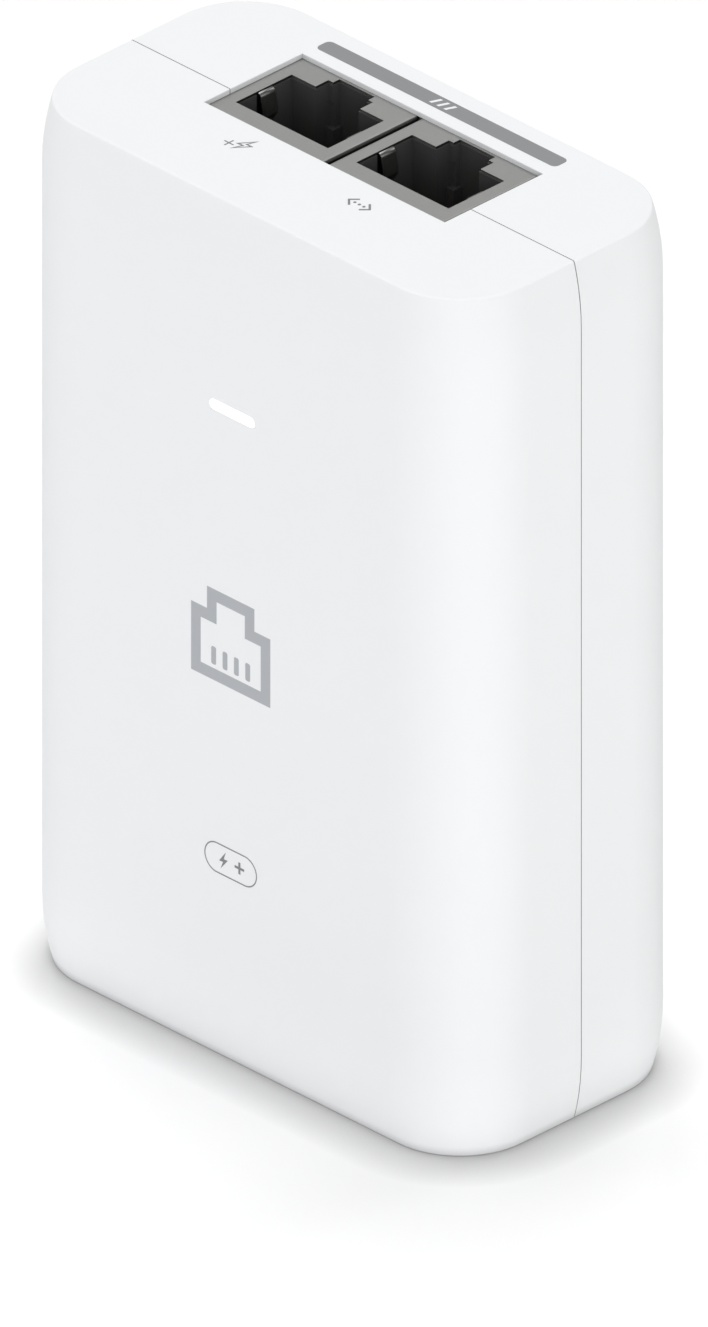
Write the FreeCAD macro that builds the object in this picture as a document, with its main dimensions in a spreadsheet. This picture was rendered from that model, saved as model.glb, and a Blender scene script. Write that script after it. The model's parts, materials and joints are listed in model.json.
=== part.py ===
"""PoE injector: a wall-adapter style mains power supply that puts power on a network cable.

Frame: origin at the middle of the bottom face, +Z up, +X to the right, +Y to the rear.
The front face looks along -Y. All sizes are millimetres and come from the sheet "dims".
"""
import FreeCAD, Part
import math
import os
import re
import Sketcher
from FreeCAD import Vector

doc = FreeCAD.newDocument("poe_injector")

# ---------------------------------------------------------------- driving dimensions
DIMENSIONS = {
    # casing: two shells that meet in a plane at y = 0
    "case_width": 60.5, "case_depth": 32, "case_height": 92, "case_corner": 9,
    "wall": 2, "seam_gap": 0.12, "crown_height": 6.9, "crown_radius": 25.28, "rim_round": 0.25,
    "lip_inset": 1.1, "lip_reach": 1.5, "rebate_inset": 1.0, "rebate_depth": 1.7,
    # top window over the two network jacks
    "window_left": -16.2, "window_right": 15.6, "window_front": -3.4, "window_rear": 9.5,
    "window_rim": 0.55, "window_relief": 0.55, "window_round": 0.1,
    # network jacks, their mouths facing up and their latch side to the rear
    "poe_jack_x": -8.65, "data_jack_x": 7.28, "jack_recess": 0.56, "jack_width": 15.5,
    "jack_front": -3.5, "jack_rear": 9.6, "jack_length": 20.8, "sheet": 0.25, "sheet_bend": 0.3,
    "mouth_width": 12.2, "mouth_front": -0.7, "mouth_rear": 6.65, "step_width": 5.9,
    "step_rear": 8.35, "latch_width": 4.65, "latch_rear": 9.2, "mouth_inset": 0.1,
    "cavity_depth": 14, "latch_lip": 1.8, "catch_relief": 0.3, "shoulder_width": 1.0,
    "shoulder_front": 7.86, "shoulder_drop": 4.5,
    "contact_count": 8, "contact_pitch": 1.02, "contact_width": 0.4, "contact_thick": 0.25,
    "groove_width": 0.62, "spring_top": 90.1, "spring_end": 80.5, "spring_root": -1.45,
    "spring_tip": 1.5, "lead_front": -2.25, "lead_top": 90.35, "lead_tail": 12.1,
    "finger_width": 1.87, "finger_middle": 3.06, "finger_gap": 0.1, "finger_fold": 0.45,
    "finger_bulge": 0.95, "finger_bow": 2.4, "finger_reach": 4.2,
    # circuit board and what holds it
    "board_front": 9.8, "board_thick": 1.6, "board_width": 52, "board_low": 6, "board_high": 88,
    "screw_x": 23.2, "screw_low": 9.4, "screw_high": 84, "screw_hole": 1.3, "boss_radius": 2.3,
    "boss_bore": 1.0, "shank_radius": 0.95, "shank_length": 3.9, "head_radius": 2.0,
    "head_height": 1.4, "film_gap": 0.9, "film": 0.3,
    # mains inlet in the bottom face
    "inlet_y": 1.5, "inlet_recess": 0.4, "inlet_width": 18.2, "inlet_depth": 14.6,
    "inlet_corner": 2, "inlet_fit": 0.1, "inlet_body": 14.2, "inlet_flange": 1.2,
    "lobe_radius": 3.9, "pin_x": 4, "pin_front": -2, "pin_rear": 3.2, "pin_radius": 1.18,
    "pin_length": 9, "socket_depth": 11.5, "centre_radius": 3.2, "centre_y": -0.6,
    # status light
    "light_x": 0.15, "light_z": 70.25, "light_width": 6, "light_height": 1.18, "pipe_z": 68.1,
    "pipe_size": 2.2,
    # blank rating label let into the rear face
    "label_width": 40, "label_low": 20, "label_high": 62, "label_recess": 0.15,
    "label_thick": 0.12, "label_margin": 0.25, "label_corner": 2,
}
# Parts that stand on the front of the board: middle x, middle z, width, height, reach from it.
FITTED = {
    "fuse": (-15.6, 9.4, 8.4, 4, 7.7),
    "x_capacitor": (-17.6, 16.6, 13, 6, 12),
    "bridge_rectifier": (19.4, 21.5, 9.6, 3.4, 9),
    "optocoupler": (16, 46.6, 6.5, 4.6, 3.4),
    "switching_controller": (15.6, 39, 5, 4, 1.6),
    "poe_controller": (-9.9, 64.8, 5.2, 4.4, 1.2),
    "poe_magnetics": (13, 66.5, 14, 6, 5.4),
    "surge_suppressor": (-4.6, 64.6, 4, 5.6, 2.3),
    "status_led": (0, 68.1, 1.8, 1.6, 1.4),
}
# Round parts: middle x, middle z, radius, length, and how far the middle stands off the board.
ROUND = {
    "varistor": (15.8, 9.6, 5, 3.6, 5.4),
    "thermistor": (16.4, 15.2, 4, 3.8, 4.4),
    "y_capacitor": (4, 47.9, 4, 3.4, 4.4),
    "bulk_capacitor": (5.3, 31, 8, 25, 8.4),
    "output_choke": (-19.4, 65.4, 2.9, 10, 3.2),
}
OTHER = {
    # common-mode choke: a ring core with a winding on each half
    "choke_x": -17.4, "choke_z": 28.2, "choke_outer": 6.2, "choke_inner": 3.2, "choke_height": 6,
    "choke_wire": 1.2, "choke_gap": 3,
    # transformer: two joined E halves, a flanged bobbin and the winding on it
    "core_x": -14, "core_z": 48.9, "core_size": 22, "core_reach": 12, "core_leg": 6,
    "core_window": 4.5, "core_yoke": 3.5, "bobbin_wall": 0.9, "bobbin_play": 0.1,
    "bobbin_flange": 1, "winding_build": 2.9, "coil_y": 0,
    # aluminium heatsinks at the right-hand wall, each with a power device clamped to it
    "sink_x": 25.3, "sink_thick": 1.4, "sink_front": -9, "device_thick": 4.4, "device_width": 10,
    "device_height": 10, "device_front": -6, "primary_low": 24.6, "primary_high": 43,
    "secondary_low": 46, "secondary_high": 64,
    # output capacitors, standing on the board
    "can_radius": 5, "can_length": 20, "can_left": 4, "can_right": 15, "can_z": 57,
    "bead_width": 0.8, "bead_height": 2.6, "bead_depth": 0.35,
    # insulating barrier and gap-filling thermal pad
    "barrier_left": -1.6, "barrier_right": 11.4, "barrier_z": 44.2, "barrier_thick": 0.6,
    "pad_width": 16, "pad_height": 18,
}


def fill_sheet():
    """Put every driving dimension in the sheet, one named cell each."""
    table = dict(DIMENSIONS)
    for node, row in FITTED.items():
        table.update(zip((f"{node}_{word}" for word in ("x", "z", "width", "height", "reach")), row))
    for node, row in ROUND.items():
        table.update(zip((f"{node}_{word}" for word in ("x", "z", "radius", "length", "off")), row))
    table.update(OTHER)
    cells = doc.addObject("Spreadsheet::Sheet", "dims")
    for line, (alias, size) in enumerate(table.items(), 1):
        cells.set(f"A{line}", alias)
        cells.set(f"B{line}", str(size))
        cells.setAlias(f"B{line}", alias)
    doc.recompute()
    return table


TABLE = fill_sheet()
GAUGE = doc.addObject("App::FeaturePython", "gauge")
GAUGE.addProperty("App::PropertyFloat", "Reading")
NODES = []


def bound(text):
    """A formula over the sheet's aliases, as FreeCAD reads it."""
    return re.sub(r"[a-z_]+", lambda word: ("dims." if word[0] in TABLE else "") + word[0], text)


def number(text):
    """The present value of a formula over the sheet's aliases."""
    GAUGE.setExpression("Reading", bound(text))
    GAUGE.recompute()
    return GAUGE.Reading


def bind(thing, **formulas):
    """Bind properties; an underscore stands for a dot, as in Placement_Base_x."""
    for name, text in formulas.items():
        thing.setExpression(name.replace("_", "."), bound(text))


def finish(node, thing):
    """Name the finished sub-part and list it for writing."""
    thing.Label = node
    NODES.append(thing)
    return thing


# ---------------------------------------------------------------- sketches and bodies
def new_body(name):
    return doc.addObject("PartDesign::Body", name)


def new_sketch(body, name, role, offset="0"):
    """An empty sketch on one of the body's own origin planes, moved along that plane's normal."""
    sketch = body.newObject("Sketcher::SketchObject", name)
    plane = next(item for item in body.Origin.OriginFeatures if item.Role == role)
    sketch.AttachmentSupport = [(plane, "")]
    sketch.MapMode = "FlatFace"
    bind(sketch, AttachmentOffset_Base_z=offset)
    return sketch


def fix_point(sketch, geometry, end, x, y):
    """Tie a point of a sketch to a place given by two formulas."""
    for kind, text in (("DistanceX", x), ("DistanceY", y)):
        index = sketch.addConstraint(Sketcher.Constraint(kind, -1, 1, geometry, end, number(text)))
        sketch.setExpression(f"Constraints[{index}]", bound(text))


def outline(sketch, corners, closed=True):
    """Lines and arcs through corners: (x, y), or (x, y, radius, side) to start an arc.

    The side is +1 where the arc's centre is on the left of the way to the next corner.
    """
    spots = [Vector(number(corner[0]), number(corner[1]), 0) for corner in corners]
    runs = len(corners) if closed else len(corners) - 1
    ends = []
    for place in range(runs):
        start, stop = spots[place], spots[(place + 1) % len(spots)]
        if len(corners[place]) == 2:
            edge = sketch.addGeometry(Part.LineSegment(start, stop), False)
            ends.append((edge, 1, 2))
            continue
        radius, side = number(corners[place][2]), corners[place][3]
        chord = stop - start
        normal = Vector(-chord.y, chord.x, 0).normalize() * side
        rise = math.sqrt(max(radius ** 2 - chord.Length ** 2 / 4, 0))
        centre = (start + stop) / 2 + normal * rise
        first, last = (start, stop) if side > 0 else (stop, start)
        angles = [math.atan2(spot.y - centre.y, spot.x - centre.x) for spot in (first, last)]
        if angles[1] < angles[0]:
            angles[1] += 2 * math.pi
        circle = Part.Circle(centre, Vector(0, 0, 1), radius)
        edge = sketch.addGeometry(Part.ArcOfCircle(circle, *angles), False)
        ends.append((edge, 1, 2) if side > 0 else (edge, 2, 1))
        index = sketch.addConstraint(Sketcher.Constraint("Radius", edge, radius))
        sketch.setExpression(f"Constraints[{index}]", bound(corners[place][2]))
    for place in range(runs):
        edge, begin, finish_end = ends[place]
        fix_point(sketch, edge, begin, *corners[place][:2])
        if place + 1 < runs or closed:
            after = ends[(place + 1) % runs]
            sketch.addConstraint(Sketcher.Constraint("Coincident", edge, finish_end, after[0], after[1]))
        else:
            fix_point(sketch, edge, finish_end, *corners[-1][:2])
    return sketch


def rectangle(sketch, left, right, low, high):
    return outline(sketch, [(left, low), (right, low), (right, high), (left, high)])


def rounded(sketch, left, right, low, high, radius):
    """A rectangle with four equal rounded corners, drawn anticlockwise."""
    return outline(sketch, [
        (f"{left} + {radius}", low), (f"{right} - {radius}", low, radius, 1),
        (right, f"{low} + {radius}"), (right, f"{high} - {radius}", radius, 1),
        (f"{right} - {radius}", high), (f"{left} + {radius}", high, radius, 1),
        (left, f"{high} - {radius}"), (left, f"{low} + {radius}", radius, 1)])


def circle(sketch, x, y, radius):
    edge = sketch.addGeometry(
        Part.Circle(Vector(number(x), number(y), 0), Vector(0, 0, 1), number(radius)), False)
    fix_point(sketch, edge, 3, x, y)
    index = sketch.addConstraint(Sketcher.Constraint("Radius", edge, number(radius)))
    sketch.setExpression(f"Constraints[{index}]", bound(radius))


def pad(body, sketch, length, backwards=False):
    feature = body.newObject("PartDesign::Pad", f"{sketch.Name}_pad")
    feature.Profile = sketch
    feature.Reversed = backwards
    bind(feature, Length=length)
    return feature


def pocket(body, sketch, length, backwards=False):
    """Cut against the sketch's normal, or along it when backwards; it must remove material."""
    doc.recompute()
    before = body.Shape.Volume
    feature = body.newObject("PartDesign::Pocket", f"{sketch.Name}_cut")
    feature.Profile = sketch
    feature.Reversed = backwards
    bind(feature, Length=length)
    doc.recompute()
    if body.Shape.Volume >= before - 1e-4:
        raise RuntimeError(f"{sketch.Name} cuts nothing")
    return feature


def block(body, name, x, y, z, cut=False):
    """A box added to a body or cut from it, between two formulas along each axis."""
    kind = "PartDesign::SubtractiveBox" if cut else "PartDesign::AdditiveBox"
    feature = body.newObject(kind, name)
    bind(feature, Length=f"({x[1]}) - ({x[0]})", Width=f"({y[1]}) - ({y[0]})",
         Height=f"({z[1]}) - ({z[0]})",
         Placement_Base_x=x[0], Placement_Base_y=y[0], Placement_Base_z=z[0])
    return feature


# ---------------------------------------------------------------- plain solids and booleans
def solid_box(name, x, y, z):
    """A Part box between two formulas along each axis."""
    box = doc.addObject("Part::Box", name)
    bind(box, Length=f"({x[1]}) - ({x[0]})", Width=f"({y[1]}) - ({y[0]})",
         Height=f"({z[1]}) - ({z[0]})",
         Placement_Base_x=x[0], Placement_Base_y=y[0], Placement_Base_z=z[0])
    return box


AXIS_TURN = {
    "x": FreeCAD.Rotation(Vector(0, 1, 0), 90),
    "y": FreeCAD.Rotation(Vector(1, 0, 0), -90),
    "z": FreeCAD.Rotation(),
}


def solid_rod(name, radius, length, axis, x, y, z):
    """A Part cylinder that starts at a place and runs along +X, +Y or +Z."""
    rod = doc.addObject("Part::Cylinder", name)
    rod.Placement = FreeCAD.Placement(Vector(), AXIS_TURN[axis])
    bind(rod, Radius=radius, Height=length,
         Placement_Base_x=x, Placement_Base_y=y, Placement_Base_z=z)
    return rod


def subtract(name, base, tool):
    cut = doc.addObject("Part::Cut", name)
    cut.Base, cut.Tool = base, tool
    return cut


def join(name, pieces):
    fused = doc.addObject("Part::MultiFuse", name)
    fused.Shapes = pieces
    fused.Refine = True
    return fused


# ---------------------------------------------------------------- casing
def half_shell(name, side):
    """One half of the casing: a crowned wall swept round three sides, closed top and bottom.

    The side is -1 for the front half and +1 for the rear half.
    """
    body = new_body(name)
    seam, face = f"{side}*seam_gap/2", f"{side}*case_depth/2"
    half, turn = "case_width/2", -side
    path = new_sketch(body, f"{name}_path", "XY_Plane")
    outline(path, [
        (f"-{half}", seam), (f"-{half}", f"{face} - {side}*case_corner", "case_corner", turn),
        (f"-{half} + case_corner", face), (f"{half} - case_corner", face, "case_corner", turn),
        (half, f"{face} - {side}*case_corner"), (half, seam)], closed=False)
    section = new_sketch(body, f"{name}_section", "XZ_Plane", f"-({seam})")
    # The rim fillet touches both the crown arc and the flat end; these place its two ends.
    across = "sqrt((crown_radius - rim_round)^2 - (crown_height - rim_round)^2)"
    flat = f"-{half} + crown_radius - {across}"
    bend_x = f"-{half} + crown_radius - {across}*crown_radius/(crown_radius - rim_round)"
    bend_z = "(crown_height - rim_round)*crown_radius/(crown_radius - rim_round)"
    outline(section, [
        (f"-{half} + wall", "0"), (f"-{half} + wall", "case_height"),
        (flat, "case_height", "rim_round", 1),
        (bend_x, f"case_height - crown_height + {bend_z}", "crown_radius", 1),
        (f"-{half}", "case_height - crown_height"),
        (f"-{half}", "crown_height", "crown_radius", 1),
        (bend_x, f"crown_height - {bend_z}", "rim_round", 1), (flat, "0")])
    doc.recompute()
    wall = body.newObject("PartDesign::AdditivePipe", f"{name}_wall")
    wall.Profile = section
    wall.Spine = (path, [f"Edge{edge}" for edge in range(1, 6)])
    for end, low, high in (("bottom", "0", "wall"), ("top", "case_height - wall", "case_height")):
        plate = new_sketch(body, f"{name}_{end}", "XY_Plane", low)
        inner, edge_y = f"{half} - wall + sheet", f"{face} - {side}*(wall - sheet)"
        radius = "case_corner - wall + sheet"
        outline(plate, [
            (f"-({inner})", seam), (f"-({inner})", f"{edge_y} - {side}*({radius})", radius, turn),
            (f"-({inner}) + {radius}", edge_y), (f"{inner} - ({radius})", edge_y, radius, turn),
            (inner, f"{edge_y} - {side}*({radius})"), (inner, seam)])
        pad(body, plate, f"({high}) - ({low})")
    return body


def cut_top_window(body, name):
    """The rectangular opening over the jacks, with room for their shields below its rim."""
    block(body, f"{name}_window", ("window_left", "window_right"), ("window_front", "window_rear"),
          ("case_height - 2*wall", "case_height + 1"), cut=True)
    block(body, f"{name}_relief", ("window_left - window_relief", "window_right + window_relief"),
          ("window_front - window_relief", "window_rear + window_relief"),
          ("case_height - 2*wall", "case_height - window_rim"), cut=True)


def round_window(body, name):
    """A small fillet along the window's edges in the top face."""
    doc.recompute()
    base, top = body.Tip, number("case_height")
    left, right = number("window_left") - 0.01, number("window_right") + 0.01
    front, rear = number("window_front") - 0.01, number("window_rear") + 0.01
    edges = []
    for place, edge in enumerate(base.Shape.Edges, 1):
        box = edge.BoundBox
        flat = box.ZMin > top - 0.001
        if flat and left < box.XMin and box.XMax < right and front < box.YMin and box.YMax < rear:
            edges.append(f"Edge{place}")
    fillet = body.newObject("PartDesign::Fillet", f"{name}_window_round")
    fillet.Base = (base, edges)
    bind(fillet, Radius="window_round")


def cut_inlet_hole(body, name):
    """The rounded rectangular hole in the bottom face for the mains inlet."""
    hole = new_sketch(body, f"{name}_inlet_hole", "XY_Plane", "2*wall")
    rounded(hole, "-inlet_width/2", "inlet_width/2", "inlet_y - inlet_depth/2",
            "inlet_y + inlet_depth/2", "inlet_corner")
    pocket(body, hole, "3*wall")


def make_front_shell():
    body = half_shell("front_shell", -1)
    block(body, "front_rebate", ("-case_width/2 + rebate_inset", "case_width/2 - rebate_inset"),
          ("-rebate_depth", "seam_gap"), ("rebate_inset", "case_height - rebate_inset"), cut=True)
    cut_top_window(body, "front")
    round_window(body, "front")
    cut_inlet_hole(body, "front")
    slot = new_sketch(body, "light_slot", "XZ_Plane", "case_depth/2 - 2*wall")
    rounded(slot, "light_x - light_width/2", "light_x + light_width/2", "light_z - light_height/2",
            "light_z + light_height/2", "light_height*0.499")
    pocket(body, slot, "3*wall", backwards=True)
    finish("front_shell", body)


def make_rear_shell():
    body = half_shell("rear_shell", 1)
    lip = new_sketch(body, "lip", "XZ_Plane", "-2*lip_inset")
    for inset in ("lip_inset", "wall"):
        rectangle(lip, f"-case_width/2 + {inset}", f"case_width/2 - {inset}", inset,
                  f"case_height - {inset}")
    pad(body, lip, "2*lip_inset + lip_reach")
    boss = new_sketch(body, "boss", "XZ_Plane", "-(board_front + board_thick + 0.05)")
    bore = new_sketch(body, "boss_bores", "XZ_Plane", "-(board_front + board_thick + 0.05)")
    for x in ("-screw_x", "screw_x"):
        for z in ("screw_low", "screw_high"):
            circle(boss, x, z, "boss_radius")
            circle(bore, x, z, "boss_bore")
    pad(body, boss, "case_depth/2 - wall - board_front - board_thick + 0.2", backwards=True)
    pocket(body, bore, "shank_length - board_thick")
    cut_top_window(body, "rear")
    round_window(body, "rear")
    cut_inlet_hole(body, "rear")
    seat = new_sketch(body, "label_seat", "XZ_Plane", "-(case_depth/2 + 1)")
    rounded(seat, "-label_width/2", "label_width/2", "label_low", "label_high", "label_corner")
    pocket(body, seat, "label_recess + 1", backwards=True)
    finish("rear_shell", body)


def make_label():
    """The blank rating label, a thin sheet with rounded corners in its seat."""
    body = new_body("rating_label")
    shape = new_sketch(body, "label_shape", "XZ_Plane", "-(case_depth/2 - label_recess)")
    rounded(shape, "-label_width/2 + label_margin", "label_width/2 - label_margin",
            "label_low + label_margin", "label_high - label_margin", "label_corner")
    pad(body, shape, "label_thick", backwards=True)
    finish("rating_label", body)


# ---------------------------------------------------------------- network jacks
JACKS = {"poe_jack": "poe_jack_x", "data_jack": "data_jack_x"}
JACK_TOP = "case_height - jack_recess"
JACK_LOW = f"({JACK_TOP} - jack_length)"


def mouth_outline(sketch, middle, inset):
    """The stepped T outline of a jack's mouth, drawn in by an inset."""
    def at(width, sign):
        return f"{middle} + {sign}*({width}/2 - {inset})"
    outline(sketch, [
        (at("mouth_width", -1), f"mouth_front + {inset}"),
        (at("mouth_width", 1), f"mouth_front + {inset}"),
        (at("mouth_width", 1), f"mouth_rear - {inset}"),
        (at("step_width", 1), f"mouth_rear - {inset}"),
        (at("step_width", 1), f"step_rear - {inset}"),
        (at("latch_width", 1), f"step_rear - {inset}"),
        (at("latch_width", 1), f"latch_rear - {inset}"),
        (at("latch_width", -1), f"latch_rear - {inset}"),
        (at("latch_width", -1), f"step_rear - {inset}"),
        (at("step_width", -1), f"step_rear - {inset}"),
        (at("step_width", -1), f"mouth_rear - {inset}"),
        (at("mouth_width", -1), f"mouth_rear - {inset}")])


def make_jack_shield(jack, middle):
    """A folded sheet-metal box round the jack, open at the back and cut out at the mouth."""
    body = new_body(f"{jack}_shield")
    outside = new_sketch(body, f"{jack}_fold", "XY_Plane", JACK_LOW)
    rectangle(outside, f"{middle} - jack_width/2", f"{middle} + jack_width/2", "jack_front",
              "jack_rear")
    pad(body, outside, "jack_length")
    doc.recompute()
    base, top, rear = body.Tip, number(JACK_TOP), number("jack_rear")
    edges = [f"Edge{place}" for place, edge in enumerate(base.Shape.Edges, 1)
             if edge.BoundBox.ZMin > top - 0.01 and edge.BoundBox.YMin < rear - 0.01]
    bends = body.newObject("PartDesign::Fillet", f"{jack}_bends")
    bends.Base = (base, edges)
    bind(bends, Radius="sheet_bend")
    block(body, f"{jack}_hollow", (f"{middle} - jack_width/2 + sheet", f"{middle} + jack_width/2 - sheet"),
          ("jack_front + sheet", "jack_rear - sheet"), (f"{JACK_LOW} - 1", f"{JACK_TOP} - sheet"), cut=True)
    mouth = new_sketch(body, f"{jack}_mouth", "XY_Plane", f"{JACK_TOP} + 1")
    mouth_outline(mouth, middle, "0")
    pocket(body, mouth, "1 + 2*sheet")
    reach = "(contact_count - 1)/2*contact_pitch + contact_width + 0.4"
    block(body, f"{jack}_lead_gap", (f"{middle} - ({reach})", f"{middle} + {reach}"),
          ("jack_rear - 1", "jack_rear + 1"), (f"{JACK_LOW} - 1", f"{JACK_LOW} + 1"), cut=True)
    finish(f"{jack}_shield", body)


def make_jack_housing(jack, middle):
    """The black moulding: stepped cavity, latch ledge and shoulders, grooves, finger slots."""
    body = new_body(f"{jack}_housing")
    play, top = "0.05", f"{JACK_TOP} - sheet - 0.03"
    half = f"(jack_width/2 - sheet - {play})"
    low = f"({JACK_LOW} + 0.7)"
    block(body, f"{jack}_moulding", (f"{middle} - {half}", f"{middle} + {half}"),
          (f"jack_front + sheet + {play}", f"jack_rear - sheet - {play}"), (low, top))
    mouth = new_sketch(body, f"{jack}_cavity", "XY_Plane", f"{top} + 1")
    mouth_outline(mouth, middle, "mouth_inset")
    pocket(body, mouth, "1 + cavity_depth")
    side = "(step_width/2 - mouth_inset)"
    block(body, f"{jack}_catch", (f"{middle} - {side}", f"{middle} + {side}"),
          ("mouth_rear", "step_rear - mouth_inset + catch_relief"),
          (f"{top} - cavity_depth", f"{top} - latch_lip"), cut=True)
    for sign in (-1, 1):
        wall, free = f"{middle} + {sign}*{side}", f"{middle} + {sign}*({side} - shoulder_width)"
        x = (f"{wall} - 0.5", free) if sign < 0 else (free, f"{wall} + 0.5")
        block(body, f"{jack}_shoulder_{'left' if sign < 0 else 'right'}", x,
              ("shoulder_front", "latch_rear"),
              (f"{top} - cavity_depth - 0.5", f"{top} - shoulder_drop"))
    for sign in (-1, 1):
        inner, outer = f"{middle} + {sign}*(mouth_width/2 - 1)", f"{middle} + {sign}*jack_width/2"
        x = (outer, inner) if sign < 0 else (inner, outer)
        block(body, f"{jack}_finger_slot_{'left' if sign < 0 else 'right'}", x,
              ("finger_middle - finger_width/2 - 0.15", "finger_middle + finger_width/2 + 0.15"),
              (f"{top} - finger_reach - 0.6", f"{top} + 1"), cut=True)
    groove = block(body, f"{jack}_groove",
                   (f"{middle} - (contact_count - 1)/2*contact_pitch - groove_width/2",
                    f"{middle} - (contact_count - 1)/2*contact_pitch + groove_width/2"),
                   ("lead_front - 0.1", "mouth_front + 2*mouth_inset"),
                   (f"{low} - 1", "lead_top + 0.4"), cut=True)
    doc.recompute()
    grooves = body.newObject("PartDesign::LinearPattern", f"{jack}_grooves")
    grooves.Originals = [groove]
    row = new_sketch(body, f"{jack}_row", "XY_Plane")
    grooves.Direction = (row, ["H_Axis"])
    grooves.Occurrences = int(TABLE["contact_count"])
    bind(grooves, Length="(contact_count - 1)*contact_pitch")
    body.Tip = grooves
    finish(f"{jack}_housing", body)


def contact_row(name, middle, corners, width):
    """Eight equal strips side by side, each an outline in the YZ plane given some width."""
    body = new_body(f"{name}_strip")
    first = f"{middle} - (contact_count - 1)/2*contact_pitch"
    side = new_sketch(body, f"{name}_side", "YZ_Plane", f"{first} - {width}/2")
    outline(side, corners)
    pad(body, side, width)
    doc.recompute()
    strips = []
    for place in range(int(TABLE["contact_count"])):
        strip = doc.addObject("Part::Feature", f"{name}_{place + 1}")
        strip.Shape = body.Shape.translated(Vector(place * number("contact_pitch"), 0, 0))
        strips.append(strip)
    group = doc.addObject("Part::Compound", f"{name}_all")
    group.Links = strips
    finish(name, group)


def make_jack_contacts(jack, middle):
    """The fixed contact leads in their grooves, and the sprung wires that press on a plug."""
    thick, low = "contact_thick", f"({JACK_LOW} + 0.3)"
    contact_row(f"{jack}_contact_leads", middle, [
        ("lead_front", f"{low} - {thick}"), ("lead_tail", f"{low} - {thick}"), ("lead_tail", low),
        (f"lead_front + {thick}", low), (f"lead_front + {thick}", "lead_top"),
        ("spring_root", "lead_top"), ("spring_root", f"lead_top + {thick}"),
        ("lead_front", f"lead_top + {thick}")], "contact_width")
    contact_row(f"{jack}_contact_springs", middle, [
        (f"spring_root - {thick}", "spring_top"), ("spring_root", "spring_top"),
        ("spring_tip", "spring_end"), (f"spring_tip - {thick}", f"spring_end - {thick}/2")],
        "contact_width")


def make_jack_finger(jack, middle, word, sign):
    """A ground finger: a strip folded down beside the mouth's edge that bows into the cavity."""
    name = f"{jack}_finger_{word}"
    body = new_body(name)
    side = new_sketch(body, f"{name}_side", "XZ_Plane", "-(finger_middle + finger_width/2)")
    edge, top = f"{middle} + {sign}*(mouth_width/2 - finger_gap)", f"{JACK_TOP} - finger_gap"
    bow = f"{middle} + {sign}*(mouth_width/2 - finger_bulge)"
    tip = f"{middle} + {sign}*(mouth_width/2 + sheet)"
    thick = "sheet*0.8"
    outline(side, [
        (edge, top, "finger_fold", sign), (f"{edge} - {sign}*finger_fold", f"{top} - finger_fold"),
        (bow, f"{top} - finger_bow"), (tip, f"{top} - finger_reach"),
        (f"{tip} + {sign}*{thick}", f"{top} - finger_reach"),
        (f"{bow} + {sign}*{thick}", f"{top} - finger_bow"),
        (f"{edge} - {sign}*(finger_fold - {thick})", f"{top} - finger_fold",
         f"finger_fold - {thick}", -sign), (edge, f"{top} - {thick}")])
    pad(body, side, "finger_width")
    finish(name, body)


# ---------------------------------------------------------------- mains inlet
PIN_PLACES = [("-pin_x", "inlet_y + pin_front"), ("pin_x", "inlet_y + pin_front"),
              ("0", "inlet_y + pin_rear")]


def make_inlet():
    """A three-pin clover-leaf inlet: a moulding flush in the bottom face, and its pins."""
    body = new_body("inlet_housing")
    nose = new_sketch(body, "inlet_nose", "XY_Plane", "inlet_recess")
    rounded(nose, "-inlet_width/2 + inlet_fit", "inlet_width/2 - inlet_fit",
            "inlet_y - inlet_depth/2 + inlet_fit", "inlet_y + inlet_depth/2 - inlet_fit",
            "inlet_corner")
    pad(body, nose, "inlet_body")
    block(body, "inlet_collar", ("-inlet_width/2 - inlet_flange", "inlet_width/2 + inlet_flange"),
          ("inlet_y - inlet_depth/2 - inlet_flange/2", "board_front - inlet_fit"),
          ("wall + inlet_fit", "board_low - inlet_fit"))
    lobes = [(x, y, "lobe_radius") for x, y in PIN_PLACES]
    lobes.append(("0", "inlet_y + centre_y", "centre_radius"))
    for place, (x, y, radius) in enumerate(lobes):
        lobe = new_sketch(body, f"inlet_lobe_{place}", "XY_Plane", "inlet_recess - 1")
        circle(lobe, x, y, radius)
        pocket(body, lobe, "socket_depth + 1", backwards=True)
    pins = []
    for place, (x, y) in enumerate(PIN_PLACES):
        shaft = solid_rod(f"inlet_pin_{place}", "pin_radius", "pin_length", "z", x, y,
                          "inlet_recess + socket_depth - pin_length")
        tip = doc.addObject("Part::Sphere", f"inlet_pin_tip_{place}")
        bind(tip, Radius="pin_radius", Placement_Base_x=x, Placement_Base_y=y,
             Placement_Base_z="inlet_recess + socket_depth - pin_length")
        pins.append(join(f"inlet_pin_whole_{place}", [shaft, tip]))
    group = doc.addObject("Part::Compound", "inlet_pins_all")
    group.Links = pins
    finish("inlet_housing", body)
    finish("inlet_pins", group)


# ---------------------------------------------------------------- circuit board
def make_board():
    body = new_body("main_board")
    plate = new_sketch(body, "board_plate", "XZ_Plane", "-(board_front + board_thick)")
    rectangle(plate, "-board_width/2", "board_width/2", "board_low", "board_high")
    pad(body, plate, "board_thick")
    holes = new_sketch(body, "board_holes", "XZ_Plane", "-board_front + 1")
    for x in ("-screw_x", "screw_x"):
        for z in ("screw_low", "screw_high"):
            circle(holes, x, z, "screw_hole")
    for middle in JACKS.values():
        for place in range(int(TABLE["contact_count"])):
            circle(holes, f"{middle} + ({place} - (contact_count - 1)/2)*contact_pitch",
                   f"{JACK_LOW} + 0.3 - contact_thick/2", "contact_width")
    pocket(body, holes, "board_thick + 2")
    finish("main_board", body)


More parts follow.
